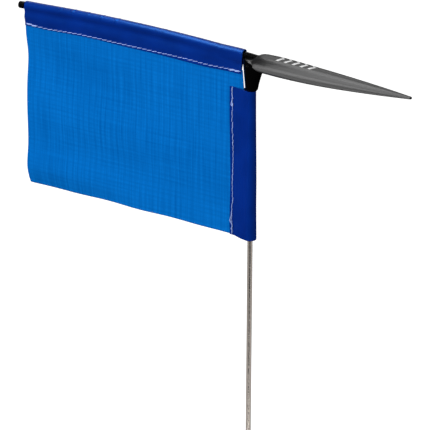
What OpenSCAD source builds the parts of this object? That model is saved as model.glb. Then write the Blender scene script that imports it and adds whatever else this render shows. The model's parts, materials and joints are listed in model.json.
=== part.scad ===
// Dinghy racing burgee: a swinging masthead flag on a stainless rod.
// Origin: centre of the rod's lower end. +Z runs up the rod, +X towards the
// counterweight's tip, and the flag streams towards -X in the XZ plane.

/* [Mast rod] */
// Diameter of the rod that the mast clips hold
rod_d = 3.2; // [3:0.1:4]
// Diameter of the turned spindle that the vane swings on
spindle_d = 2.8; // [2.6:0.1:2.9]
// Height of the counterweight's axis above the rod's lower end
axis_height = 451; // [380:1:520]

/* [Counterweight] */
// Largest radius of the dart
dart_r = 6.25; // [6:0.05:7]
// Reach of the dart's tip in front of the rod
dart_front = 109.4; // [90:0.1:120]
// Reach of the dart's round tail behind the rod
dart_rear = 5; // [4.5:0.1:6]
// Radius of the dart's blunt tip
dart_tip_r = 0.75; // [0.6:0.05:1]
// Depth of the hub's mouth below the dart's axis
boss_depth = 17.3; // [16:0.1:20]
// Radius of the hub where it meets the dart
boss_top_r = 5.1; // [5:0.05:5.5]
// Radius of the hub just above its mouth
boss_mouth_r = 3.35; // [3.3:0.05:3.8]

/* [Boom] */
// Diameter of the boom
boom_d = 4; // [3.8:0.1:4.2]
// Height of the boom's highest point above the dart's axis
boom_crown = 5.9; // [5.8:0.1:6.2]
// Radius of the boom's gentle arch
arch_r = 1430; // [1300:10:1600]
// Reach of the boom's tip behind the rod
boom_reach = 168.8; // [167:0.1:175]

/* [Flag] */
// Reach of the flag's free edge behind the rod
fly_reach = 164; // [150:1:165]
// Depth of the flag's foot below the dart's axis
foot_depth = 112.4; // [100:0.1:125]
// Thickness of the ripstop panel
panel_t = 0.24; // [0.2:0.01:0.3]
// Thickness of the coated sleeve cloth
sleeve_t = 0.3; // [0.25:0.01:0.35]
// Distance from the boom's axis to the top sleeve's raw edge
top_tail = 14.2; // [12:0.1:16]
// Distance from the rod's axis to the hoist sleeve's raw edge
hoist_tail = 14.6; // [13:0.1:16]
// Inner radius of the hoist sleeve's loop round the rod
hoist_loop_r = 2.9; // [2.5:0.1:3.2]

/* [Stitching] */
// Thickness of the sewing thread
thread_d = 0.44; // [0.3:0.02:0.5]
// Length of one visible stitch
stitch_length = 3.1; // [2.6:0.1:3.4]
// Pitch of the stitches along the boom
top_pitch = 3.7; // [3.4:0.1:4.6]
// Pitch of the stitches down the hoist
hoist_pitch = 3.7; // [3.6:0.1:4.4]

/* [Hidden] */
$fn = 64;

// Running fit of the vane on its spindle
running_gap = 0.05;
// Play of the loose boom in its socket
socket_gap = 0.02;

// Mast rod
rod_chamfer = 0.3;
shoulder_depth = 110;
rod_top = 0.45;
rod_dome = 0.6;

// Retaining ring in its groove, in the chamber above the bush
groove_depth = 10.9;
groove_w = 0.6;
groove_r = 1.1;
ring_r = 2.2;
ring_t = 0.5;
ring_slot = 1.6;
chamber_r = 2.45;
chamber_top = 9.9;
bush_length = 6;
bore_top = 0.6;
stem_r = 3;
stem_top = 1.2;
stem_foot = 7;

// Dart: an elliptic tail up to the shoulder, then a parabola to the tip
dart_shoulder = 12;
dart_end = 115;
tail_steps = 10;
nose_steps = 18;
tip_steps = 5;
boss_chamfer = 0.9;
boss_ball_drop = 1;
tail_l = dart_shoulder + dart_rear;
nose_l = dart_end - dart_shoulder;
// Where the parabola is as thin as the blunt tip
tip_x = dart_shoulder + nose_l * sqrt(1 - dart_tip_r / dart_r);

// Boom
crown_x = -85;
boom_front = 15;
bead_r = 2.2;
bead_length = 4.2;
bead_fillet = 0.35;
bead_steps = 4;

// Sleeves
sleeve_play = 0.2;
top_start = -164.3;
top_end = -6;
panel_tuck = 2.2;
slot_over = 1;
hoist_top = 17.9;
panel_hoist_x = -5.3;
foot_rise = 0.9;
edge_steps = 16;
outline_steps = 20;

// Seams
seam_inset = 1.2;
tack_drop = 0.6;
tack_count = 2;
thread_gap = 0.01;
fly_tack_x = top_start + 2.4;
hub_tack_x = top_end - 8.6;
seam_y = panel_t / 2 + sleeve_t + thread_d / 2 + thread_gap;

// Height of the boom's axis above the dart's axis at a given x
function arch_z(x) = boom_crown - arch_r + sqrt(pow(arch_r, 2) - pow(x - crown_x, 2));
// Angle round the arch's centre of a given x
function arch_angle(x) = acos((x - crown_x) / arch_r);
function nose_r(x) = dart_r * (1 - pow((x - dart_shoulder) / nose_l, 2));

// A loop of radius r whose two sides run straight down to a tail of half width w
function loop_outline(r, tail, w) =
    let (reach = norm([tail, w]), lift = atan2(w, tail) + acos(r / reach))
    [for (i = [0:outline_steps])
        let (a = lift + (360 - 2 * lift) * i / outline_steps)
        [-r * cos(a), r * sin(a)]];

// Sweeps a profile along the boom's arch; the profile's origin is the boom's axis
module along_arch(from_x, to_x) {
    translate([crown_x, 0, axis_height + boom_crown - arch_r])
        rotate([90, 0, 0])
            rotate([0, 0, arch_angle(to_x)])
                rotate_extrude(angle = arch_angle(from_x) - arch_angle(to_x), $fn = 360)
                    translate([arch_r, 0])
                        children();
}

// The loop above with its two sides run on in parallel to the tail's end
module loop_shape(r, tail, w, tail_end) {
    polygon(concat(loop_outline(r, tail, w),
        [[-tail, -w], [-tail_end, -w], [-tail_end, w], [-tail, w]]));
}

// Cross-section of a cloth sleeve: a loop round a bar, closed by two layers
// that hold the panel between them, with the loop's centre at the origin
module sleeve_profile(loop_r, tail) {
    gap = panel_t / 2;
    difference() {
        loop_shape(loop_r + sleeve_t, tail - panel_tuck, gap + sleeve_t, tail);
        loop_shape(loop_r, tail - panel_tuck, gap, tail + slot_over);
    }
}

// One visible stitch along X, centred on the origin
module stitch(length = stitch_length) {
    rotate([0, 90, 0])
        cylinder(h = length, d = thread_d, center = true, $fn = 16);
}

// A stitch on each face of the sleeve, at x, a given distance below the boom's axis
module top_stitch(x, drop) {
    slope = 90 - arch_angle(x);
    for (side = [-1, 1])
        translate([x - drop * sin(slope), side * seam_y,
                   axis_height + arch_z(x) - drop * cos(slope)])
            rotate([0, slope, 0])
                stitch();
}

// A short doubled row that locks the seam's end
module back_tack(from_x) {
    for (i = [0:tack_count - 1], row = [0, 1])
        top_stitch(from_x + (i + row / 2) * top_pitch, top_tail - seam_inset + row * tack_drop);
}

module mast_rod() {
    r = rod_d / 2;
    s = spindle_d / 2;
    shoulder = axis_height - shoulder_depth;
    groove = axis_height - groove_depth;
    top = axis_height + rod_top;
    color("lightgray")
        rotate_extrude()
            polygon([[0, 0], [r - rod_chamfer, 0], [r, rod_chamfer], [r, shoulder],
                [s, shoulder + rod_chamfer], [s, groove], [groove_r, groove],
                [groove_r, groove + groove_w], [s, groove + groove_w],
                [s, top - rod_dome], [s / 2, top - rod_dome / 4], [0, top]]);
}

module retaining_ring() {
    lift = (groove_w - ring_t) / 2;
    color("silver")
        translate([0, 0, axis_height - groove_depth + lift])
            difference() {
                cylinder(h = ring_t, r = ring_r);
                translate([0, 0, -1])
                    cylinder(h = ring_t + 2, r = groove_r);
                translate([0, -ring_slot / 2, -1])
                    cube([ring_r + 1, ring_slot, ring_t + 2]);
            }
}

// The dart's spindle of revolution along X
module dart_spindle() {
    tail = [for (i = [0:tail_steps])
        let (a = 90 * i / tail_steps)
        [dart_r * sin(a), dart_shoulder - tail_l * cos(a)]];
    nose = [for (i = [1:nose_steps])
        let (x = dart_shoulder + (tip_x - dart_shoulder) * i / nose_steps)
        [nose_r(x), x]];
    tip = [for (i = [1:tip_steps])
        let (a = 90 * i / tip_steps)
        [dart_tip_r * cos(a), tip_x + (dart_front - tip_x) * sin(a)]];
    rotate([0, 90, 0])
        rotate_extrude()
            polygon(concat(tail, nose, tip));
}

// The tapered outside of the hub, with a ball end that fills out the dart's tail
module boss() {
    rotate_extrude()
        polygon([[0, -boss_depth], [boss_mouth_r - boss_chamfer / 2, -boss_depth],
            [boss_mouth_r, -boss_depth + boss_chamfer], [boss_top_r, -boss_ball_drop],
            [0, -boss_ball_drop]]);
    translate([0, 0, -boss_ball_drop])
        sphere(r = boss_top_r);
}

// The round stem that joins the hub to the dart
module stem() {
    translate([0, 0, -stem_foot])
        cylinder(h = stem_foot + stem_top, r = stem_r);
}

module boom_socket() {
    along_arch(-boom_reach / 2, boom_front + socket_gap)
        circle(d = boom_d + 2 * socket_gap);
}

module swivel_hub() {
    color([0.03, 0.03, 0.03])
        difference() {
            translate([0, 0, axis_height])
                union() {
                    difference() {
                        boss();
                        dart_spindle();
                    }
                    stem();
                }
            boom_socket();
            translate([0, 0, axis_height - boss_depth - 1])
                cylinder(h = boss_depth - chamber_top + 1, r = chamber_r);
            translate([0, 0, axis_height - boss_depth])
                cylinder(h = boss_depth + bore_top, r = spindle_d / 2 + running_gap);
        }
}

module counterweight_dart() {
    color("dimgray")
        difference() {
            translate([0, 0, axis_height])
                difference() {
                    dart_spindle();
                    stem();
                }
            boom_socket();
        }
}

module bearing_bush() {
    color("ivory")
        translate([0, 0, axis_height - boss_depth])
            difference() {
                cylinder(h = bush_length, r = chamber_r);
                translate([0, 0, -1])
                    cylinder(h = bush_length + 2, r = spindle_d / 2 + running_gap);
            }
}

// The bead at the boom's outer end, with its rounded edge, pointing along +Z
module boom_bead() {
    rotate_extrude()
        polygon(concat([[0, bead_fillet], [0, bead_fillet - bead_length],
                [bead_r, bead_fillet - bead_length]],
            [for (i = [0:bead_steps])
                let (a = 90 * i / bead_steps)
                [bead_r - bead_fillet * (1 - cos(a)), bead_fillet * sin(a)]]));
}

module boom() {
    tip = -boom_reach + bead_fillet;
    color([0.05, 0.05, 0.06]) {
        along_arch(tip, boom_front)
            circle(d = boom_d);
        translate([tip, 0, axis_height + arch_z(tip)])
            rotate([0, -arch_angle(tip), 0])
                boom_bead();
    }
}

module flag_panel() {
    span = fly_reach + panel_hoist_x;
    head = [for (i = [0:edge_steps])
        let (x = -fly_reach + span * i / edge_steps)
        [x, axis_height + arch_z(x) - top_tail + panel_tuck]];
    foot = [for (i = [edge_steps:-1:0])
        let (t = i / edge_steps)
        [-fly_reach + span * t, axis_height - foot_depth + foot_rise * 4 * t * (1 - t)]];
    color("dodgerblue")
        rotate([90, 0, 0])
            linear_extrude(panel_t, center = true)
                polygon(concat(head, foot));
}

module top_sleeve() {
    color("navy")
        along_arch(top_start, top_end)
            sleeve_profile(boom_d / 2 + sleeve_play, top_tail);
}

module hoist_sleeve() {
    color("navy")
        translate([0, 0, axis_height - foot_depth])
            linear_extrude(foot_depth - hoist_top)
                sleeve_profile(hoist_loop_r, hoist_tail);
}

module top_seam_thread() {
    color("lavender")
        for (x = [fly_tack_x + tack_count * top_pitch : top_pitch : hub_tack_x - top_pitch])
            top_stitch(x, top_tail - seam_inset);
}

module hoist_seam_thread() {
    first = axis_height - foot_depth + hoist_pitch / 2;
    last = axis_height - hoist_top - hoist_pitch / 2;
    color("lavender")
        for (z = [first : hoist_pitch : last], side = [-1, 1])
            translate([seam_inset - hoist_tail, side * seam_y, z])
                rotate([0, 90, 0])
                    stitch();
}

module fly_back_tack() {
    color("lavender")
        back_tack(fly_tack_x);
}

module hub_back_tack() {
    color("lavender")
        back_tack(hub_tack_x);
}

mast_rod();
retaining_ring();
swivel_hub();
bearing_bush();
counterweight_dart();
boom();
flag_panel();
top_sleeve();
hoist_sleeve();
top_seam_thread();
hoist_seam_thread();
fly_back_tack();
hub_back_tack();
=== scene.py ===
"""A racing burgee: cloth flag, arched boom and dart counterweight swinging on a steel rod."""
import json
import math
import random

import bpy
from mathutils import Matrix, Vector, noise


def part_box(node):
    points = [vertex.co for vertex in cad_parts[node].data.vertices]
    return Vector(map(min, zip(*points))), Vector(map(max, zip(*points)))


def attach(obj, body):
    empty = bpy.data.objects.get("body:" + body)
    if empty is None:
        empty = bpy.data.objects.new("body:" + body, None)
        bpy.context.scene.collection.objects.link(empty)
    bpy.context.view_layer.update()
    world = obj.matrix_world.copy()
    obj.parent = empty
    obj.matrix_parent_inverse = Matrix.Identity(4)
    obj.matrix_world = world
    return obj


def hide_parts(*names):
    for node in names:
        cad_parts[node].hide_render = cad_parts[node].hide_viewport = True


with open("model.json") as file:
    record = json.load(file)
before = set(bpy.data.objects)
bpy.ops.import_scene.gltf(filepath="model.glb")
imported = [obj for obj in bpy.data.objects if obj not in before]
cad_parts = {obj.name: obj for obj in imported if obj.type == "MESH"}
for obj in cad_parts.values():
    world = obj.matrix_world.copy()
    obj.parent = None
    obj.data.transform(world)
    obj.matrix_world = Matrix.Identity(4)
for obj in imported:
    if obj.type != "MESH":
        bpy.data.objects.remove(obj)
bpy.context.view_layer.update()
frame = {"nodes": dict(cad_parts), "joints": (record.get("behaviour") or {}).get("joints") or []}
random.seed(7)
MM = 0.001

# ---------------------------------------------------------------- places, from the frame
nodes = frame["nodes"]
pivot = frame["joints"][0]["pos_m"]
AXIS_Z = pivot[2]
panel_lo, panel_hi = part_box("flag_panel")
dart_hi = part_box("counterweight_dart")[1]
hoist_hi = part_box("hoist_sleeve")[1]

FLY_X = panel_lo.x                       # the flag's free edge
FOOT_Z = panel_lo.z                      # the flag's lowest edge at its corners
CROWN_X = -85 * MM                       # the highest point of the boom's axis
CROWN_Z = AXIS_Z + 5.9 * MM
ARCH_R = 1.430                           # radius of the boom's arch
FOOT_RISE = 0.9 * MM                     # the foot's own gentle arch
TOP_TAIL = 14.2 * MM                     # boom's axis to the top sleeve's raw edge
HOIST_TAIL = 14.6 * MM                   # rod's axis to the hoist sleeve's raw edge
SEAM_INSET = 1.2 * MM                    # a sleeve's raw edge to its seam
SEAM_DEPTH = TOP_TAIL - SEAM_INSET       # boom's axis to the top seam
HOIST_SEAM = HOIST_TAIL - SEAM_INSET     # rod's axis to the hoist's seam
PANEL_T = 0.20 * MM                      # thickness of the panel's cloth
SLEEVE_T = 0.26 * MM                     # thickness of the sleeves' cloth
TOP_PITCH = 3.7 * MM                     # one stitch to the next along the boom
HOIST_PITCH = 3.7 * MM                   # one stitch to the next down the hoist


# ---------------------------------------------------------------- small helpers
def smooth(a, b, x):
    """A soft step from 0 at a to 1 at b."""
    t = min(1.0, max(0.0, (x - a) / (b - a)))
    return t * t * (3 - 2 * t)


def bump(x, centre, width):
    """A soft hill, 1 high at its centre."""
    return math.exp(-((x - centre) / width) ** 2)


def curve_through(points, x):
    """A smooth curve through given (x, y) points, flat beyond the ends."""
    if x <= points[0][0]:
        return points[0][1]
    for i in range(len(points) - 1):
        (x0, y0), (x1, y1) = points[i], points[i + 1]
        if x <= x1:
            before = points[max(0, i - 1)]
            after = points[min(len(points) - 1, i + 2)]
            m0 = (y1 - before[1]) / (x1 - before[0])
            m1 = (after[1] - y0) / (after[0] - x0)
            t, h = (x - x0) / (x1 - x0), x1 - x0
            return ((2 * t**3 - 3 * t**2 + 1) * y0 + (t**3 - 2 * t**2 + t) * h * m0
                    + (3 * t**2 - 2 * t**3) * y1 + (t**3 - t**2) * h * m1)
    return points[-1][1]


def arch_z(x):
    """Height of the boom's axis."""
    return CROWN_Z - ARCH_R + math.sqrt(ARCH_R**2 - (x - CROWN_X) ** 2)


def arch_point(x, out):
    """The point a distance out from the boom's axis, square to the arch, in the flag's plane."""
    slope = math.asin((x - CROWN_X) / ARCH_R)
    return x + out * math.sin(slope), arch_z(x) + out * math.cos(slope)


def new_mesh(name, verts, faces, flat=False):
    """A new object, smooth shaded unless it is flat."""
    mesh = bpy.data.meshes.new(name)
    mesh.from_pydata(verts, [], faces)
    mesh.validate()
    if not flat:
        mesh.polygons.foreach_set("use_smooth", [True] * len(mesh.polygons))
    mesh.update()
    obj = bpy.data.objects.new(name, mesh)
    bpy.context.scene.collection.objects.link(obj)
    return obj


def grid_faces(rows, cols, wrap=False, start=0):
    """Quads over rows x cols points laid row by row."""
    faces = []
    for i in range(rows - 1):
        for j in range(cols if wrap else cols - 1):
            k = (j + 1) % cols
            a, b = start + i * cols + j, start + i * cols + k
            faces.append((a, b, b + cols, a + cols))
    return faces


def cloth_sheet(name, rows, thickness):
    """A sheet of cloth from rows of points; a second material, if it gets one, is for its rim."""
    cols = len(rows[0])
    verts = [p for row in rows for p in row]
    obj = new_mesh(name, verts, grid_faces(len(rows), cols))
    solid = obj.modifiers.new("thickness", "SOLIDIFY")
    solid.thickness = thickness
    solid.offset = 0
    solid.material_offset_rim = 1
    return obj


def tube(verts, faces, centres, radii, sides):
    """Adds a round tube through the centres, closed at both ends, to verts and faces."""
    start = len(verts)
    normal = Vector((0, 1, 0))
    for i, c in enumerate(centres):
        ahead = centres[min(i + 1, len(centres) - 1)] - centres[max(i - 1, 0)]
        ahead.normalize()
        side = ahead.cross(normal)
        side.normalize()
        up = side.cross(ahead)
        for j in range(sides):
            a = 2 * math.pi * j / sides
            verts.append(c + radii[i] * (math.cos(a) * side + math.sin(a) * up))
    faces.extend(grid_faces(len(centres), sides, wrap=True, start=start))
    faces.append(tuple(range(start + sides - 1, start - 1, -1)))
    last = start + (len(centres) - 1) * sides
    faces.append(tuple(range(last, last + sides)))


# ---------------------------------------------------------------- node helpers
class Shader:
    """A material with a Principled shader and short ways to add nodes to it."""

    def __init__(self, name):
        self.mat = bpy.data.materials.new(name)
        self.mat.use_nodes = True
        self.tree = self.mat.node_tree
        self.bsdf = self.tree.nodes["Principled BSDF"]

    def node(self, kind, **values):
        n = self.tree.nodes.new(kind)
        for key, value in values.items():
            setattr(n, key, value)
        return n

    def join(self, a, b):
        self.tree.links.new(a, b)

    def put(self, socket, value):
        if isinstance(value, (int, float, tuple)):
            socket.default_value = value
        else:
            self.join(value, socket)

    def set(self, **values):
        for key, value in values.items():
            self.put(self.bsdf.inputs[key.replace("_", " ")], value)

    def math(self, op, a, b=None, c=None):
        n = self.node("ShaderNodeMath", operation=op)
        for i, v in enumerate((a, b, c)):
            if v is not None:
                self.put(n.inputs[i], v)
        return n.outputs[0]

    def place(self):
        """The point's own place on the object at rest, as x, y and z."""
        n = self.node("ShaderNodeTexCoord")
        s = self.node("ShaderNodeSeparateXYZ")
        self.join(n.outputs["Object"], s.inputs[0])
        return n.outputs["Object"], s.outputs

    def stretched(self, vector, scale):
        n = self.node("ShaderNodeMapping")
        self.join(vector, n.inputs["Vector"])
        n.inputs["Scale"].default_value = scale
        return n.outputs[0]

    def noise(self, vector, scale, detail=3.0, rough=0.5):
        n = self.node("ShaderNodeTexNoise")
        self.join(vector, n.inputs["Vector"])
        n.inputs["Scale"].default_value = scale
        n.inputs["Detail"].default_value = detail
        n.inputs["Roughness"].default_value = rough
        return n.outputs["Fac"]

    def ramp(self, value, stops):
        n = self.node("ShaderNodeValToRGB")
        self.join(value, n.inputs["Fac"])
        while len(n.color_ramp.elements) < len(stops):
            n.color_ramp.elements.new(0.5)
        for e, (at, colour) in zip(n.color_ramp.elements, stops):
            e.position = at
            e.color = (*colour, 1) if isinstance(colour, tuple) else (colour, colour, colour, 1)
        return n.outputs["Color"]

    def mix(self, factor, a, b):
        n = self.node("ShaderNodeMix", data_type="RGBA")
        self.put(n.inputs["Factor"], factor)
        for socket, v in ((n.inputs["A"], a), (n.inputs["B"], b)):
            self.put(socket, (*v, 1.0) if isinstance(v, tuple) else v)
        return n.outputs["Result"]

    def band(self, coordinate, pitch, width, shift=0.0):
        """1 on evenly spaced lines of a given width, 0 between them, with soft sides."""
        at = self.math("FRACT", self.math("MULTIPLY_ADD", coordinate, 1 / pitch, shift))
        away = self.math("ABSOLUTE", self.math("SUBTRACT", at, 0.5))
        edge = width / pitch / 2
        soft = self.math("MULTIPLY_ADD", away, -1 / (0.7 * edge), 1 + 1 / 0.7)
        return self.math("MINIMUM", self.math("MAXIMUM", soft, 0.0), 1.0)

    def line_pairs(self, coordinate, pitch, width, apart):
        """Evenly spaced pairs of lines; the two of a pair are a share of the pitch apart."""
        return self.math("MAXIMUM", self.band(coordinate, pitch, width),
                         self.band(coordinate, pitch, width, apart))

    def wave(self, coordinate, pitch):
        """A thread-like wave from 0 to 1 along a coordinate."""
        s = self.math("SINE", self.math("MULTIPLY", coordinate, 2 * math.pi / pitch))
        return self.math("MULTIPLY_ADD", s, 0.5, 0.5)

    def bump(self, height, distance, strength):
        n = self.node("ShaderNodeBump")
        n.inputs["Strength"].default_value = strength
        n.inputs["Distance"].default_value = distance
        self.join(height, n.inputs["Height"])
        return n.outputs["Normal"]


# ---------------------------------------------------------------- materials
def ripstop_cloth():
    """Thin woven nylon with a grid of thicker threads, a pair to each line."""
    s = Shader("ripstop_cloth")
    spot, (x, _, z) = s.place()
    drift = s.math("MULTIPLY", s.noise(spot, 45, 2), 0.0022)
    gx, gz = s.math("ADD", x, drift), s.math("ADD", z, drift)
    up = s.line_pairs(gx, 4.2 * MM, 0.36 * MM, 0.19)
    across = s.line_pairs(gz, 2.9 * MM, 0.30 * MM, 0.24)
    grid = s.math("MAXIMUM", up, s.math("MULTIPLY", across, 0.75))
    yarn = 0.24 * MM
    weave = s.math("MULTIPLY", s.wave(gx, yarn), s.wave(gz, yarn))
    streak = s.noise(s.stretched(spot, (900, 1, 25)), 1.0, 2)
    weft = s.noise(s.stretched(spot, (25, 1, 900)), 1.0, 2)
    cloud = s.noise(spot, 18, 3)
    tone = s.math("ADD", s.math("MULTIPLY", streak, 0.5), s.math("MULTIPLY", weft, 0.25))
    tone = s.math("ADD", tone, s.math("MULTIPLY", cloud, 0.25))
    ground = s.ramp(tone, [(0.36, (0.0005, 0.096, 0.368)), (0.64, (0.002, 0.146, 0.515))])
    lines = s.mix(s.math("MULTIPLY", grid, 0.32), ground, (0.0, 0.074, 0.30))
    height = s.math("ADD", s.math("MULTIPLY", grid, 0.7), s.math("MULTIPLY", weave, 0.3))
    normal = s.bump(height, 0.06 * MM, 0.5)
    rough = s.math("MULTIPLY_ADD", cloud, 0.12, 0.50)
    s.set(Base_Color=lines, Roughness=rough, Normal=normal, Specular_IOR_Level=0.0)
    return s.mat


def coated_cloth():
    """Dark cloth with a soft shiny coat that shows its weave only close up."""
    s = Shader("coated_cloth")
    spot, (x, _, z) = s.place()
    yarn = 0.42 * MM
    weave = s.math("MULTIPLY", s.wave(x, yarn), s.wave(z, yarn))
    cloud = s.noise(spot, 60, 4)
    crumple = s.noise(spot, 380, 3, 0.6)
    colour = s.ramp(cloud, [(0.3, (0.0, 0.0145, 0.164)), (0.7, (0.0002, 0.0200, 0.218))])
    height = s.math("ADD", s.math("MULTIPLY", weave, 0.35), s.math("MULTIPLY", crumple, 0.65))
    normal = s.bump(height, 0.12 * MM, 0.45)
    rough = s.math("MULTIPLY_ADD", crumple, 0.14, 0.36)
    s.set(Base_Color=colour, Roughness=rough, Normal=normal, Specular_IOR_Level=0.5,
          Specular_Tint=(0.05, 0.40, 1.0, 1.0))
    return s.mat


def fused_edge_painted_highlight():
    """The cloth's hot-cut edge, a little shiny: paler, partly for the fused edge itself and partly as a
    painted highlight where the edge catches the light.
    """
    s = Shader("fused_edge_painted_highlight")
    spot, _ = s.place()
    beads = s.noise(spot, 1400, 3)
    colour = s.ramp(beads, [(0.3, (0.020, 0.085, 0.30)), (0.7, (0.050, 0.16, 0.42))])
    s.set(Base_Color=colour, Roughness=s.math("MULTIPLY_ADD", beads, 0.2, 0.3),
          Normal=s.bump(beads, 0.05 * MM, 0.5), Specular_IOR_Level=0.3)
    return s.mat


def sewing_thread():
    """Plied thread: a fine slant of twist across each stitch."""
    s = Shader("sewing_thread")
    spot, (x, y, z) = s.place()
    twist = s.wave(s.math("ADD", s.math("ADD", x, z), s.math("MULTIPLY", y, 1.6)), 0.33 * MM)
    fuzz = s.noise(spot, 2500, 2)
    colour = s.mix(s.math("MULTIPLY_ADD", twist, 0.6, s.math("MULTIPLY", fuzz, 0.3)),
                   (0.22, 0.30, 0.64), (0.46, 0.60, 1.0))
    s.set(Base_Color=colour, Roughness=0.6, Normal=s.bump(twist, 0.06 * MM, 0.6),
          Sheen_Weight=0.3, Specular_IOR_Level=0.35)
    return s.mat


def satin_plastic():
    """Dark grey moulded plastic with a fine even grain and a little handling wear."""
    s = Shader("satin_plastic")
    spot, _ = s.place()
    grain = s.noise(spot, 5200, 2)
    flow = s.noise(s.stretched(spot, (30, 160, 160)), 1.0, 3)
    scuff = s.noise(s.stretched(spot, (250, 1500, 1500)), 1.0, 4, 0.65)
    colour = s.mix(s.ramp(scuff, [(0.60, 0.0), (0.78, 0.22)]),
                   s.ramp(flow, [(0.3, (0.0075, 0.0075, 0.008)), (0.7, (0.010, 0.010, 0.0105))]),
                   (0.022, 0.022, 0.023))
    rough = s.math("MULTIPLY_ADD", flow, 0.08, 0.27)
    s.set(Base_Color=colour, Roughness=rough, Normal=s.bump(grain, 0.02 * MM, 0.35),
          Specular_IOR_Level=0.6)
    return s.mat


def black_plastic():
    """Black moulded plastic, darker and duller than the dart."""
    s = Shader("black_plastic")
    spot, _ = s.place()
    grain = s.noise(spot, 4200, 2)
    cloud = s.noise(spot, 150, 3)
    colour = s.ramp(cloud, [(0.3, (0.0009, 0.0009, 0.0009)), (0.7, (0.0016, 0.0015, 0.0015))])
    rough = s.math("MULTIPLY_ADD", cloud, 0.12, 0.32)
    s.set(Base_Color=colour, Roughness=rough, Normal=s.bump(grain, 0.015 * MM, 0.3),
          Specular_IOR_Level=0.16)
    return s.mat


def drawn_black_rod():
    """The boom's black skin, with faint marks along it."""
    s = Shader("drawn_black_rod")
    spot, _ = s.place()
    lines = s.noise(s.stretched(spot, (12, 1400, 1400)), 1.0, 3)
    colour = s.ramp(lines, [(0.3, (0.0012, 0.0012, 0.0012)), (0.7, (0.003, 0.003, 0.003))])
    s.set(Base_Color=colour, Roughness=s.math("MULTIPLY_ADD", lines, 0.12, 0.16),
          Normal=s.bump(lines, 0.02 * MM, 0.3), Specular_IOR_Level=0.35)
    return s.mat


def bright_steel():
    """Drawn stainless steel with fine marks along the rod and slight dulling."""
    s = Shader("bright_steel")
    spot, _ = s.place()
    drawn = s.noise(s.stretched(spot, (2600, 2600, 9)), 1.0, 4, 0.6)
    cloud = s.noise(s.stretched(spot, (60, 60, 30)), 1.0, 3)
    colour = s.ramp(drawn, [(0.3, (0.46, 0.41, 0.37)), (0.7, (0.60, 0.54, 0.485))])
    rough = s.math("MULTIPLY_ADD", cloud, 0.16, 0.16)
    s.set(Base_Color=colour, Metallic=1.0, Roughness=rough,
          Normal=s.bump(drawn, 0.015 * MM, 0.35))
    return s.mat


def acetal():
    """The bush's off-white bearing plastic."""
    s = Shader("acetal")
    spot, (_, _, z) = s.place()
    turned = s.wave(z, 0.12 * MM)
    colour = s.ramp(s.noise(spot, 300, 3), [(0.3, (0.66, 0.64, 0.58)), (0.7, (0.74, 0.72, 0.66))])
    s.set(Base_Color=colour, Roughness=0.38, Normal=s.bump(turned, 0.01 * MM, 0.4))
    return s.mat


def printed_white():
    """Thin pad print, slightly worn."""
    s = Shader("printed_white")
    spot, _ = s.place()
    wear = s.noise(spot, 1800, 4, 0.7)
    colour = s.ramp(wear, [(0.3, (0.50, 0.50, 0.51)), (0.6, (0.78, 0.78, 0.78))])
    s.set(Base_Color=colour, Roughness=0.5, Normal=s.bump(wear, 0.01 * MM, 0.4))
    return s.mat


CLOTH = ripstop_cloth()
SLEEVE = coated_cloth()
# the cut edge's paler colour is partly a painted highlight
CUT_EDGE_PAINTED_HIGHLIGHT = fused_edge_painted_highlight()
THREAD = sewing_thread()
DART = satin_plastic()
HUB = black_plastic()
BOOM = drawn_black_rod()
STEEL = bright_steel()
BUSH = acetal()
PRINT = printed_white()


def dress(obj, material):
    """Gives a piece its one material."""
    obj.data.materials.clear()
    obj.data.materials.append(material)


for name, material in (("mast_rod", STEEL), ("retaining_ring", STEEL), ("bearing_bush", BUSH),
                       ("boom", BOOM)):
    dress(nodes[name], material)


# ---------------------------------------------------------------- the flag's panel
PANEL_DROP = 0.104                       # the panel's height, roughly
TUCK = 2.2 * MM                          # how far the panel reaches up inside the top sleeve
# Sideways lean of the free edge, from the top seam, 0, to the foot, 1, in millimetres
LEECH = [(0.0, 0.2), (0.21, 0.9), (0.40, 0.1), (0.58, -0.9), (0.76, 0.0), (0.90, -1.1), (1.0, 1.3)]
# How far the seam and the raw edge wander above their nominal lines (x, rise), in millimetres
SEAM_RISE = [(-166, 2.2), (-156, 0.7), (-147, 0.2), (-124, 0.6), (-100, 0.1), (-72, 0.1), (-45, 0.5),
             (-30, 0.5), (-14, 1.6), (-4, 1.95)]
HEM_RISE = [(-166, 1.5), (-148, 0.7), (-116, 0.7), (-92, 0.0), (-70, 0.0), (-33, -0.1), (-18, 0.9),
            (-4, 1.45)]


def seam_rise(x):
    """How far the top seam lies above its nominal line."""
    return curve_through(SEAM_RISE, x / MM) * MM


def sleeve_drop(d, x):
    """Distance below the boom's axis of a row of the sleeve that nominally lies d below it."""
    rise = seam_rise(x)
    if d <= SEAM_DEPTH:
        return d - rise * smooth(3.5 * MM, SEAM_DEPTH, d)
    share = (d - SEAM_DEPTH) / SEAM_INSET
    hem = curve_through(HEM_RISE, x / MM) * MM
    return SEAM_DEPTH - rise + share * (SEAM_INSET + rise - hem)


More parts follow.
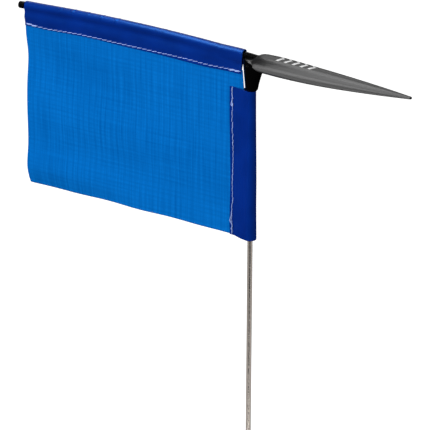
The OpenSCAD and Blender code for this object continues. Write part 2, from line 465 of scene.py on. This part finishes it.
def panel_lean(x, t):
    """Sideways lean of the panel: t runs from the top seam, 0, to the foot, 1."""
    s = min(1.0, max(0.0, x / FLY_X))
    free = smooth(0.10, 1.0, s) ** 1.4
    lean = curve_through(LEECH, t) * MM * free
    belly = math.sin(math.pi * min(1, t * 1.25 + 0.06)) * (1 - t)
    lean += 0.9 * MM * bump(x, -34 * MM, 13 * MM) * belly
    lean += 0.45 * MM * math.sin(t * 15 + s * 5) * smooth(0, 0.2, t) * smooth(0.05, 0.5, s)
    lean += 0.35 * MM * noise.noise(Vector((x * 22, 3.1, t * 2.2))) * smooth(0, 0.25, t)
    depth = t * PANEL_DROP
    pucker = 0.09 * MM * math.exp(-depth / (3.2 * MM)) * math.sin(2 * math.pi * x / TOP_PITCH)
    by_hoist = math.exp(-abs(x + HOIST_TAIL) / (2.6 * MM))
    pucker += 0.07 * MM * by_hoist * math.sin(2 * math.pi * depth / HOIST_PITCH)
    return (lean * smooth(-12 * MM, -30 * MM, x) + pucker) * smooth(0, 0.02, t)


def make_panel():
    """The ripstop panel, from inside the top sleeve down to the foot."""
    right_top, right_foot = -6.2 * MM, -5.0 * MM
    cols, rows = 240, 170
    points = []
    for i in range(rows):
        t = i / (rows - 1)
        row = []
        for j in range(cols):
            s = j / (cols - 1)
            right = right_top + (right_foot - right_top) * min(1, t * 8)
            left = FLY_X - 0.9 * MM * (1 - smooth(0.05, 0.24, t))
            x = left + (right - left) * s
            corner = bump(t, 1.0, 0.02) * bump(s, 0.0, 0.01) * 0.3 * MM
            _, head = arch_point(x, -TOP_TAIL + TUCK + seam_rise(x))
            foot = FOOT_Z + FOOT_RISE * 4 * s * (1 - s)
            foot += 0.25 * MM * math.sin(s * 21) * math.sin(math.pi * s)
            z = head + (foot - head) * t
            row.append((x + corner, panel_lean(x, t), z + 0.4 * corner))
        points.append(row)
    panel = cloth_sheet("ripstop_panel", points, PANEL_T)
    dress(panel, CLOTH)
    return panel


panel = make_panel()
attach(panel, "vane")
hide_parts("flag_panel")


# ---------------------------------------------------------------- the top sleeve
BOOM_LOOP_R = 2.36 * MM                  # radius of the fold round the boom
# Half width of the sleeve at each distance below the boom's axis, in millimetres; near the hub it
# turns into an even taper
FRONT = [(0.0, 2.36), (1.2, 2.05), (2.6, 1.34), (4.2, 1.02), (6.2, 1.22), (8.2, 1.22), (10.4, 0.86),
         (12.2, 0.36), (13.0, 0.24), (14.2, 0.27)]
HUB_END = [(0.0, 2.36), (1.2, 2.20), (13.0, 0.24), (14.2, 0.27)]
# Creases over the boom: place along it, width and height in millimetres, and slant
CREASES = [(-151, 2.6, 0.15, 0.5), (-136, 1.6, 0.20, 0.7), (-127, 1.4, 0.30, 0.9),
           (-117, 2.2, 0.16, -0.5), (-106, 1.3, 0.34, 0.8), (-95, 1.7, 0.36, 1.0),
           (-79, 2.4, 0.16, -0.7), (-61, 3.0, 0.12, 0.5), (-42, 2.6, 0.12, 0.8), (-24, 3.2, 0.12, -0.6)]


def sleeve_half(out, side, x):
    """Half width of the top sleeve, at a distance below the boom's axis."""
    d = out / MM
    near_hub = smooth(-60 * MM, -8 * MM, x)
    width = curve_through(FRONT, d) * (1 - near_hub) + curve_through(HUB_END, d) * near_hub
    width -= 0.55 * bump(d, 7.0, 4.0) * smooth(-20 * MM, -7 * MM, x)
    belly = smooth(2.0, 6.5, d) * (1 - smooth(9.5, 12.6, d))
    width += belly * 0.30 * noise.noise(Vector((x * 28, side * 5.0, d * 0.10)))
    width += belly * 0.18 * noise.noise(Vector((x * 75, side * 9.0, d * 0.25)))
    if side > 0:
        width += 0.12 * belly
    stitched = math.exp(-abs(d - 13.0) / 1.5)
    width += 0.10 * stitched * (0.5 + 0.5 * math.sin(2 * math.pi * x / TOP_PITCH + 1.2))
    return width * MM


def crease(x, angle):
    """Small ridges that cross the top of the fold at a slant."""
    rise = 0.0
    for at, width, height, slant in CREASES:
        centre = (at + slant * 2.2 * (angle / 90)) * MM
        ridge = bump(x, centre, width * 0.45 * MM)
        dip = bump(x, centre + width * 0.7 * MM, width * 0.6 * MM)
        rise += height * MM * (ridge - 0.6 * dip) * bump(angle, -35, 60)
    return rise


def fold_lift(x):
    """How far the fold stands off the boom: more at its two ends."""
    return (0.17 + 0.6 * smooth(-24 * MM, -5 * MM, x) + 0.2 * smooth(-150 * MM, -163 * MM, x)) * MM


def make_top_sleeve():
    """Cloth that runs up one side, over the boom and down the other; its ends are cut at a slant."""
    cols = 420
    start_top, start_foot = -163.8 * MM, -165.5 * MM
    end_top, end_foot = -5.1 * MM, -6.4 * MM
    depths = [14.2, 13.8, 13.4, 13.0, 12.6, 12.2, 11.6, 11.0, 10.3, 9.5, 8.6, 7.7, 6.8, 6.0, 5.2, 4.4,
              3.7, 3.0, 2.4, 1.8, 1.2, 0.6]
    arc = [-90 + 180 * i / 28 for i in range(29)]
    profile = [("side", -1, d) for d in depths] + [("arc", 0, a) for a in arc]
    profile += [("side", 1, d) for d in reversed(depths)]
    rows = []
    for kind, side, value in profile:
        row = []
        for j in range(cols):
            drop = value if kind == "side" else 0.0
            share = drop / depths[0]
            end = end_top + (end_foot - end_top) * min(1, share * 1.8)
            start = start_top + (start_foot - start_top) * math.sqrt(share)
            x = start + (end - start) * j / (cols - 1)
            if kind == "side":
                y = side * sleeve_half(value * MM, side, x)
                px, pz = arch_point(x, -sleeve_drop(value * MM, x))
            else:
                a = math.radians(value)
                r = BOOM_LOOP_R + crease(x, value)
                r += 0.05 * MM * noise.noise(Vector((x * 120, value / 60, 2)))
                y = r * math.sin(a)
                px, pz = arch_point(x, r * math.cos(a) + fold_lift(x))
            row.append((px, y, pz))
        rows.append(row)
    sleeve = cloth_sheet("top_sleeve_cloth", rows, SLEEVE_T)
    dress(sleeve, SLEEVE)
    # the rim gets the paler cut-edge colour, which partly paints in the highlight that the sleeve's cut
    # ends catch
    sleeve.data.materials.append(CUT_EDGE_PAINTED_HIGHLIGHT)
    return sleeve


top_sleeve = make_top_sleeve()
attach(top_sleeve, "vane")
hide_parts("top_sleeve")


# ---------------------------------------------------------------- the hoist sleeve
# Sideways wander of the raw edge and of the seam, from the hoist's top, 0, to its foot, 1, in
# millimetres
EDGE_SWAY = [(0, -0.5), (0.2, -0.4), (0.6, 0.45), (0.9, 0.1), (1, 0.3)]
SEAM_SWAY = [(0, -0.1), (0.10, 0.4), (0.25, 0.5), (0.48, 1.35), (0.60, 0.95), (0.75, 1.05), (0.88, 0.55),
             (1.0, 0.95)]
# The loose loops of thread, as points across and up, in millimetres
TOP_LOOP = [(0.3, 4.2), (-0.3, 1.6), (-0.5, -0.3), (0.2, -1.0), (0.6, 0.0), (0.1, 0.5), (0.2, -1.6)]
FOOT_LOOP = [(0.2, 5.0), (-0.6, 1.8), (-0.9, 0.0), (0.5, -2.2), (0.6, -3.6), (0.0, -5.0),
             (0.4, -6.4), (0.2, -8.4)]


def hoist_loop_r(t):
    """Outer radius of the loop round the rod: t runs from the top edge, 0, to the foot, 1."""
    return (2.75 + 0.75 * smooth(0, 0.7, t) + 0.30 * smooth(0.7, 1, t)) * MM


def make_hoist_sleeve():
    """Cloth that runs loosely round the rod and closes on both faces of the panel."""
    top_z, foot_z, cols = hoist_hi.z, FOOT_Z - 0.1 * MM, 260
    closed = 0.25 * MM
    flats = [14.6, 14.2, 13.8, 13.4, 13.0, 12.5, 12.0, 11.2, 10.3, 9.3, 8.3, 7.3, 6.3, 5.4, 4.6, 3.9]
    start_angle = 118
    arc = [-start_angle + 2 * start_angle * i / 40 for i in range(41)]
    profile = [("side", -1, d) for d in flats] + [("arc", 0, a) for a in arc]
    profile += [("side", 1, d) for d in reversed(flats)]
    rows = []
    for kind, side, value in profile:
        row = []
        for j in range(cols):
            t = j / (cols - 1)
            z = top_z + (foot_z - top_z) * t
            r = hoist_loop_r(t)
            r += 0.10 * MM * noise.noise(Vector((z * 30, value / 70, 7)))
            if kind == "arc":
                a = math.radians(value)
                x, y = r * math.cos(a), r * math.sin(a)
            else:
                a = math.radians(start_angle)
                edge_x, edge_y = r * math.cos(a), r * math.sin(a)
                d = value * MM
                s = (HOIST_TAIL - d) / (HOIST_TAIL + edge_x)
                rise = smooth(0.16, 1.05, s) ** 0.85
                y = closed + (edge_y - closed) * rise
                sway = noise.noise(Vector((z * 26, side * 4 + d * 60, 1)))
                y += 0.28 * MM * sway * smooth(0.15, 0.5, s)
                pucker = math.exp(-abs(d - HOIST_SEAM) / (1.3 * MM))
                y += 0.09 * MM * pucker * (0.5 + 0.5 * math.sin(2 * math.pi * z / HOIST_PITCH))
                x, y = -d, side * y
                x += curve_through(EDGE_SWAY, t) * MM * (1 - smooth(0.0, 0.6, s))
            row.append((x, y, z))
        rows.append(row)
    sleeve = cloth_sheet("hoist_sleeve_cloth", rows, SLEEVE_T)
    dress(sleeve, SLEEVE)
    return sleeve


hoist_sleeve = make_hoist_sleeve()
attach(hoist_sleeve, "vane")
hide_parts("hoist_sleeve")


# ---------------------------------------------------------------- stitching
def stitch(verts, faces, centre, along, out, length, radius):
    """One stitch that rises out of the cloth and dips back into it."""
    rings = 9
    centres, radii = [], []
    for i in range(rings):
        t = i / (rings - 1)
        lift = math.sin(math.pi * t) ** 0.6
        centres.append(centre + along * (t - 0.5) * length + out * radius * (1.1 * lift - 0.5))
        radii.append(radius * (0.80 + 0.20 * lift))
    tube(verts, faces, centres, radii, 10)


def top_seam_place(x, drop, side):
    """A point on the top sleeve's face, and the direction along the seam there."""
    px, pz = arch_point(x, -drop + seam_rise(x))
    qx, qz = arch_point(x + MM, -drop + seam_rise(x + MM))
    y = side * (sleeve_half(drop, side, x) + SLEEVE_T / 2)
    return Vector((px, y, pz)), Vector((qx - px, 0, qz - pz)).normalized()


def top_row(verts, faces, xs, drop, length, radius, wander):
    """Stitches on both faces of the top sleeve, one at each x."""
    for x in xs:
        for side in (-1, 1):
            shift = random.uniform(-wander, wander) * MM
            spot, along = top_seam_place(x, drop + shift, side)
            tilt = Vector((0, 0, 0.15 + random.uniform(0, 0.05)))
            out = Vector((0, side, 0))
            stitch(verts, faces, spot, (along + tilt).normalized(), out,
                   length * random.uniform(0.96, 1.04), radius)


def make_top_threads():
    """The top seam, and the tack at each end of it."""
    seam_x0, seam_x1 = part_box("top_seam_thread")[0].x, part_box("top_seam_thread")[1].x
    verts, faces = [], []
    count = int(round((seam_x1 - seam_x0) / TOP_PITCH))
    xs = [seam_x0 + TOP_PITCH * (i + 0.4) for i in range(-1, count + 1)]
    top_row(verts, faces, xs, SEAM_DEPTH, 3.6 * MM, 0.20 * MM, 0.06)
    seam = new_mesh("top_seam_stitches", verts, faces)
    dress(seam, THREAD)
    made = [(seam, "top_seam_thread")]
    for name, node, first, spread in (("fly_tack_stitches", "fly_back_tack", 0.07, 0.1),
                                      ("hub_tack_stitches", "hub_back_tack", 0.83, 0.5)):
        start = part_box(node)[0].x
        verts, faces = [], []
        # three short rows over each other, each a little below and a little along
        for drop, shift in ((0.0, 0.0), (0.42, 0.45), (0.15, 0.8)):
            places = [start + TOP_PITCH * (k + first + shift * spread) for k in range(2)]
            top_row(verts, faces, places, SEAM_DEPTH + drop * MM, 3.75 * MM, 0.25 * MM, 0.05)
        tack = new_mesh(name, verts, faces)
        dress(tack, THREAD)
        made.append((tack, node))
    return made


def hoist_face(z, side):
    """A point on the hoist sleeve's face along its seam."""
    t = (hoist_hi.z - z) / (hoist_hi.z - FOOT_Z)
    x = -HOIST_SEAM + curve_through(SEAM_SWAY, t) * MM
    return Vector((x, side * (0.37 * MM + SLEEVE_T / 2), z))


def loose_loop(verts, faces, path, share):
    """A loose end of thread on the near face, along points round a place at a share of the hoist."""
    base = hoist_face(hoist_hi.z + (FOOT_Z - hoist_hi.z) * share, -1)
    knots = [(i / (len(path) - 1), p) for i, p in enumerate(path)]
    last = 69
    centres = []
    for k in range(last + 1):
        across, up = [curve_through([(a, p[axis]) for a, p in knots], k / last) for axis in (0, 1)]
        off = -0.25 - 0.35 * math.sin(math.pi * k / last)
        centres.append(base + Vector((across, off, up)) * MM)
    tube(verts, faces, centres, [0.24 * MM] * len(centres), 8)


def make_hoist_thread():
    """The hoist's seam, thicker over its first few stitches, with a loose loop near each end."""
    doubled = 3
    verts, faces = [], []
    count = int((hoist_hi.z - FOOT_Z) / HOIST_PITCH)
    for i in range(count):
        z = hoist_hi.z - HOIST_PITCH * (i + 0.55)
        for side in (-1, 1):
            top, foot = hoist_face(z + HOIST_PITCH / 2, side), hoist_face(z - HOIST_PITCH / 2, side)
            along = (foot - top).normalized() + Vector((random.uniform(-0.16, 0.16), 0, 0))
            radius = (0.28 if i < doubled else random.uniform(0.17, 0.23)) * MM
            spot = (top + foot) / 2 + Vector((random.uniform(-0.22, 0.22), 0, 0)) * MM
            stitch(verts, faces, spot, along.normalized(), Vector((0, side, 0)), 3.8 * MM, radius)
    loose_loop(verts, faces, TOP_LOOP, share=0.115)
    loose_loop(verts, faces, FOOT_LOOP, share=0.905)
    thread = new_mesh("hoist_seam_stitches", verts, faces)
    dress(thread, THREAD)
    return thread


stitches = make_top_threads()
stitches.append((make_hoist_thread(), "hoist_seam_thread"))
for piece, node in stitches:
    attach(piece, "vane")
    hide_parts(node)


# ---------------------------------------------------------------- dart and hub
TAIL_X, TIP_X = -4.6 * MM, dart_hi.x
TIP_LENGTH = 1.2 * MM                    # the dart's rounded tip
HUB_R = 5.1 * MM                         # the hub's radius at its widest
HUB_DEPTH = 17.3 * MM                    # the hub's mouth below the dart's axis
DOME_FOOT, DOME_RISE = -1.2 * MM, 3.6 * MM
BLEND = 1.6 * MM                         # size of the fillet between dart and dome
BORE = ((2.62, -17.3), (2.46, -17.1), (2.46, -11.3))    # radius and height of its rings, in mm
# The dart's outline in millimetres: a blunt rear up to REAR_END, a taper from FRONT_START
REAR_R, REAR_LENGTH, REAR_POWER = 5.93, 8.9, 2.6
FRONT_R, FRONT_LENGTH, FRONT_POWER = 6.08, 97.4, 1.64
REAR_END, FRONT_START = 12, 20
# The line, seen from the side, where the hub's black ends and the dart's grey begins (x, height)
PARTING = [(-5.2, 2.3), (-1.3, 2.1), (-0.3, 1.5), (1.2, 0.9), (2.5, 0.2), (3.5, -0.9), (4.6, -2.2),
           (6.5, -3.3), (9.5, -4.5)]


def dart_radius(x):
    """The dart's radius in millimetres: a blunt rear, then a long even taper to the tip."""
    if x < REAR_END:
        share = max(0.0, REAR_END - x) / REAR_LENGTH
        return REAR_R * max(0.0, 1 - share ** REAR_POWER) ** (1 / REAR_POWER)
    if x < FRONT_START:
        swell = (FRONT_R - REAR_R) * math.sin(math.pi / 2 * (x - REAR_END) / (FRONT_START - REAR_END))
        return REAR_R + swell
    return FRONT_R * (1 - ((x - FRONT_START) / FRONT_LENGTH) ** FRONT_POWER)


def dart_rise(x):
    """How far the dart's middle sits above its axis line, in millimetres: most near the hub."""
    return 0.78 * math.exp(-((x - 10) / 26) ** 2)


def dart_gap(x, y, z):
    """Distance outside the dart, roughly; less than 0 inside. Its lower rear reaches further back."""
    mm = x / MM
    near_hub = 1 - smooth(4, 14, mm)
    back = 3.2 * near_hub * (1 - smooth(0.5, 5.5, z / MM))
    across = y * (1 + 0.12 * near_hub)
    return math.hypot(across, z - dart_rise(mm) * MM) - dart_radius(mm + back) * MM


def dome_gap(x, y, z):
    """Distance outside the low dome on the hub, roughly; less than 0 inside."""
    out = math.hypot(x, y)
    rise = (z - DOME_FOOT) / DOME_RISE
    if rise < 0:
        return max(out - HUB_R - 0.6 * (z - DOME_FOOT), -4.0 * MM - z)
    level = (out / (HUB_R - 0.1 * MM)) ** 9 + rise ** 2
    return (math.sqrt(level) - 1) * DOME_RISE * 0.9


def body_gap(x, y, z):
    """The dart and the dome run together with a soft fillet."""
    a, b = dart_gap(x, y, z), dome_gap(x, y, z)
    h = max(0.0, BLEND - abs(a - b)) / BLEND
    return min(a, b) - h * h * BLEND / 4


def body_reach(x, middle, angle):
    """Distance from the section's middle to the body's skin at an angle."""
    lo, hi = 0.0, 8 * MM
    for _ in range(22):
        r = (lo + hi) / 2
        if body_gap(x, r * math.sin(angle), middle + r * math.cos(angle)) < 0:
            lo = r
        else:
            hi = r
    return lo


def section_middle(x):
    """Height of a point inside the body at each station, above the dart's axis."""
    share = smooth(TAIL_X, 8 * MM, x)
    return (-1.0 * (1 - share)) * MM + dart_rise(x / MM) * MM * share


def make_dart():
    """The dart and its dome as rings of points: close together at the tail, wider apart ahead."""
    sides = 144
    stations = [TAIL_X + 0.9 * MM * (i / 8) ** 2 for i in range(9)]
    stations += [-3.7 * MM + 0.3 * MM * i for i in range(1, 64)]
    rear_end = stations[-1]
    stations += [rear_end + (TIP_X - TIP_LENGTH - rear_end) * i / 110 for i in range(1, 111)]
    verts = []
    for x in stations:
        middle = section_middle(x)
        for j in range(sides):
            a = 2 * math.pi * j / sides
            r = body_reach(x, middle, a)
            verts.append((x, r * math.sin(a), AXIS_Z + middle + r * math.cos(a)))
    tip_r = dart_radius((TIP_X - TIP_LENGTH) / MM) * MM
    turns = [2 * math.pi * j / sides for j in range(sides)]
    for i in range(1, 8):
        t = math.radians(11.25 * i)
        x, r = TIP_X - TIP_LENGTH * (1 - math.sin(t)), tip_r * math.cos(t) ** 0.75
        verts += [(x, r * math.sin(a), AXIS_Z + r * math.cos(a)) for a in turns]
        stations.append(x)
    verts.append((TIP_X, 0, AXIS_Z))
    faces = [f[::-1] for f in grid_faces(len(stations), sides, wrap=True)]
    last = (len(stations) - 1) * sides
    faces.append(tuple(range(sides)))
    faces += [(last + (j + 1) % sides, last + j, len(verts) - 1) for j in range(sides)]
    dart = new_mesh("dart_body", verts, faces)
    dress(dart, DART)
    return dart


def hub_point(a, z, shrink=0.0):
    """A point on the hub's tapered skin, which is drawn out forward under the dart."""
    if z < DOME_FOOT:
        share = (z + HUB_DEPTH) / (DOME_FOOT + HUB_DEPTH)
        r = (3.65 + 1.40 * share) * MM - 0.45 * MM * (1 - smooth(0.0, 0.055, share))
    else:
        r = HUB_R - 0.05 * MM + 0.04 * (z - DOME_FOOT)
    r -= shrink
    up = max(0.0, z / MM + 16) / 11
    flare = (0.45 + 2.3 * up ** 1.3 + 1.5 * smooth(-6 * MM, -2 * MM, z)) * MM
    return (r + flare * max(0.0, math.cos(a))) * math.cos(a), r * math.sin(a)


def parting_height(a):
    """Height of the hub's top edge at an angle round it."""
    z = 0.0
    for _ in range(30):
        x, _ = hub_point(a, z)
        z += 0.3 * (curve_through(PARTING, x / MM) * MM - z)
    return z


def make_hub():
    """The tapered black hub, open below, with a fillet that spreads forward under the dart."""
    sides, levels = 144, 66
    angles = [2 * math.pi * j / sides for j in range(sides)]
    tops = [parting_height(a) for a in angles]
    verts = []
    for i in range(levels):
        t = i / (levels - 1)
        for a, top in zip(angles, tops):
            z = -HUB_DEPTH + (top + HUB_DEPTH) * (1 - (1 - t) ** 1.5)
            verts.append((*hub_point(a, z), AXIS_Z + z))
    # the top edge turns in and down, inside the dart
    for shrink, drop in ((0.5 * MM, 0.1 * MM), (1.0 * MM, 2.5 * MM)):
        for a, top in zip(angles, tops):
            verts.append((*hub_point(a, top - drop, shrink), AXIS_Z + top - drop))
    faces = grid_faces(levels + 2, sides, wrap=True)
    faces.append(tuple(range((levels + 1) * sides, (levels + 2) * sides)))
    start = len(verts)
    for r, z in BORE:
        verts += [(r * MM * math.cos(a), r * MM * math.sin(a), AXIS_Z + z * MM) for a in angles]
    faces += [(j, start + j, start + (j + 1) % sides, (j + 1) % sides) for j in range(sides)]
    faces += [f[::-1] for f in grid_faces(3, sides, wrap=True, start=start)]
    faces.append(tuple(range(start + 3 * sides - 1, start + 2 * sides - 1, -1)))
    hub = new_mesh("hub_body", verts, faces)
    dress(hub, HUB)
    return hub


dart = make_dart()
hub = make_hub()
for piece, node in ((dart, "counterweight_dart"), (hub, "swivel_hub")):
    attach(piece, "vane")
    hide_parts(node)


def make_print():
    """A generic mark on the dart's upper side: a row of thin chevrons that point to the tip."""
    verts, faces = [], []
    count, pitch, first = 5, 5.4 * MM, 21.5 * MM
    steps, swept, thick = 24, 2.8 * MM, 1.9 * MM
    for k in range(count):
        start = len(verts)
        for i in range(steps + 1):
            u = -1 + 2 * i / steps
            for ahead in (0.0, thick):
                x = first + pitch * k - abs(u) * swept + ahead
                r = dart_radius(x / MM) * MM + 0.03 * MM
                a = math.radians(-6) + u * math.radians(27)
                verts.append((x, r * math.sin(a), AXIS_Z + dart_rise(x / MM) * MM + r * math.cos(a)))
        for i in range(steps):
            corner = start + 2 * i
            faces.append((corner, corner + 1, corner + 3, corner + 2))
    mark = new_mesh("dart_print", verts, faces)
    dress(mark, PRINT)
    return mark


mark = make_print()
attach(mark, "vane")


# ---------------------------------------------------------------- camera, floor and light
VIEW_AZIMUTH = math.radians(33.37)
VIEW_ELEVATION = math.radians(22.0)
CAMERA_DISTANCE = 2.194
LENS = 312.2
ROLL = math.radians(-0.33)
AIM_LEFT, AIM_BELOW = 21.06 * MM, 90.11 * MM      # where the camera aims, from the pivot


def make_camera():
    a, e = VIEW_AZIMUTH, VIEW_ELEVATION
    right = Vector((math.cos(a), math.sin(a), 0))
    back = Vector((math.sin(a) * math.cos(e), -math.cos(a) * math.cos(e), math.sin(e)))
    up = back.cross(right)
    place = Vector(pivot) - right * AIM_LEFT - up * AIM_BELOW + back * CAMERA_DISTANCE
    x_axis = right * math.cos(ROLL) - up * math.sin(ROLL)
    y_axis = right * math.sin(ROLL) + up * math.cos(ROLL)
    data = bpy.data.cameras.new("camera")
    data.sensor_width = 36
    data.lens = LENS
    data.clip_start, data.clip_end = 0.05, 60
    camera = bpy.data.objects.new("camera", data)
    camera.matrix_world = Matrix((
        (x_axis.x, y_axis.x, back.x, place.x),
        (x_axis.y, y_axis.y, back.y, place.y),
        (x_axis.z, y_axis.z, back.z, place.z),
        (0, 0, 0, 1)))
    bpy.context.scene.collection.objects.link(camera)
    bpy.context.scene.camera = camera


def pale_floor():
    """Matt and a little bright of itself, so that it shows no shading of its own."""
    s = Shader("pale_floor")
    s.set(Base_Color=(0.85, 0.85, 0.85, 1.0), Roughness=0.9, Specular_IOR_Level=0.0,
          Emission_Color=(1.0, 1.0, 1.0, 1.0), Emission_Strength=0.62)
    return s.mat


def stage_plane(name, centre, across, upward, width, height, material):
    """A flat rectangle that belongs to the studio."""
    across, upward = across.normalized() * width / 2, upward.normalized() * height / 2
    corners = [centre - across - upward, centre + across - upward, centre + across + upward,
               centre - across + upward]
    obj = new_mesh(name, corners, [(0, 1, 2, 3)], flat=True)
    obj.data.materials.append(material)
    return obj


def area_light(name, place, target, size, power, gloss=True, diffuse=True, only=None,
               colour=(1, 1, 1)):
    """A soft rectangular light; only names the pieces it may reach, where not all."""
    data = bpy.data.lights.new(name, "AREA")
    data.shape = "RECTANGLE"
    data.size, data.size_y = size
    data.energy = power
    data.color = colour
    light = bpy.data.objects.new(name, data)
    light.location = place
    light.rotation_mode = "QUATERNION"
    light.rotation_quaternion = (Vector(target) - Vector(place)).to_track_quat("-Z", "Y")
    light.visible_camera = False
    light.visible_glossy = gloss
    light.visible_diffuse = diffuse
    if only:
        group = bpy.data.collections.new(name + "_pieces")
        for obj in only:
            group.objects.link(obj)
        light.light_linking.receiver_collection = group
    bpy.context.scene.collection.objects.link(light)


make_camera()
FLOOR_Z = -1 * MM
FLOOR_SIZE = 40
floor = stage_plane("floor", Vector((0, 0, FLOOR_Z)), Vector((1, 0, 0)), Vector((0, 1, 0)),
                    FLOOR_SIZE, FLOOR_SIZE, pale_floor())
floor.visible_glossy = False
floor.visible_diffuse = False
centre = Vector((0, 0, 0.42))            # the lights aim at the rod, a little below its top
above = centre + Vector((-0.72, -0.28, 1.15))
above_size = (1.4, 1.0)
sleeves = [top_sleeve, hoist_sleeve]
black_pieces = [hub, nodes["boom"]]
steel = [nodes["mast_rod"], nodes["retaining_ring"], nodes["bearing_bush"]]
area_light("overhead", above, centre, above_size, 8, gloss=False)
area_light("sleeve_sheen", above, centre, above_size, 3.5, diffuse=False, only=sleeves,
           colour=(0.3, 0.75, 1.0))
area_light("black_sheen", above, centre, above_size, 20, diffuse=False, only=black_pieces)
area_light("back_left", centre + Vector((-0.75, 1.0, 0.7)), centre, (1.2, 0.8), 5, diffuse=False,
           only=sleeves + black_pieces)
area_light("front_fill", centre + Vector((-0.8, -1.9, 0.6)), centre, (1.6, 1.6), 43, gloss=False)
area_light("right_fill", centre + Vector((1.5, -0.5, 0.2)), centre, (0.8, 0.8), 7, gloss=False)
area_light("sleeve_end_sheen", Vector((-0.09, -0.065, AXIS_Z + 0.115)), Vector((-0.012, 0, AXIS_Z)),
           (0.16, 0.09), 0.55, diffuse=False, only=[top_sleeve])
# White cards hung round the dart, each aimed at a place along its axis from an angle up from
# level; the near ones are aimed beyond its tip
for place, angle, distance, size, power in (
        (0.06, -70, 0.50, (0.50, 0.50), 1.1), (0.06, -25, 0.80, (0.80, 0.40), 2.2),
        (0.12, -10, 0.35, (0.20, 0.20), 0.3), (0.18, 30, 0.35, (0.24, 0.24), 0.62),
        (0.14, 70, 0.35, (0.20, 0.20), 0.5), (0.06, 110, 0.80, (0.80, 0.40), 1.5),
        (0.06, 145, 0.80, (0.80, 0.40), 0.6)):
    up = math.radians(angle)
    aim = Vector((place, 0, AXIS_Z))
    card = aim + distance * Vector((-0.51, -0.86 * math.cos(up), 0.86 * math.sin(up)))
    area_light("card_%d" % angle, card, aim, size, power, diffuse=False, only=[dart])
# Cards that lie just over the floor and face up, for the bright steel to mirror
for name, x, y, size, power in (("steel_glow", -0.45, -0.25, (1.0, 1.5), 2.6),
                                ("steel_glow_right", 0.75, 0.25, (1.0, 1.0), 2.2),
                                ("steel_near", 0.05, -0.15, (0.40, 0.30), 3.6)):
    area_light(name, Vector((x, y, 0.002)), Vector((x, y, 1)), size, power, diffuse=False, only=steel)

world = bpy.data.worlds.new("studio")
bpy.context.scene.world = world
world.use_nodes = True
world.node_tree.nodes["Background"].inputs["Color"].default_value = (1, 1, 1, 1)
world.node_tree.nodes["Background"].inputs["Strength"].default_value = 0.35
world.cycles_visibility.glossy = False

bpy.context.scene.view_settings.view_transform = "Standard"
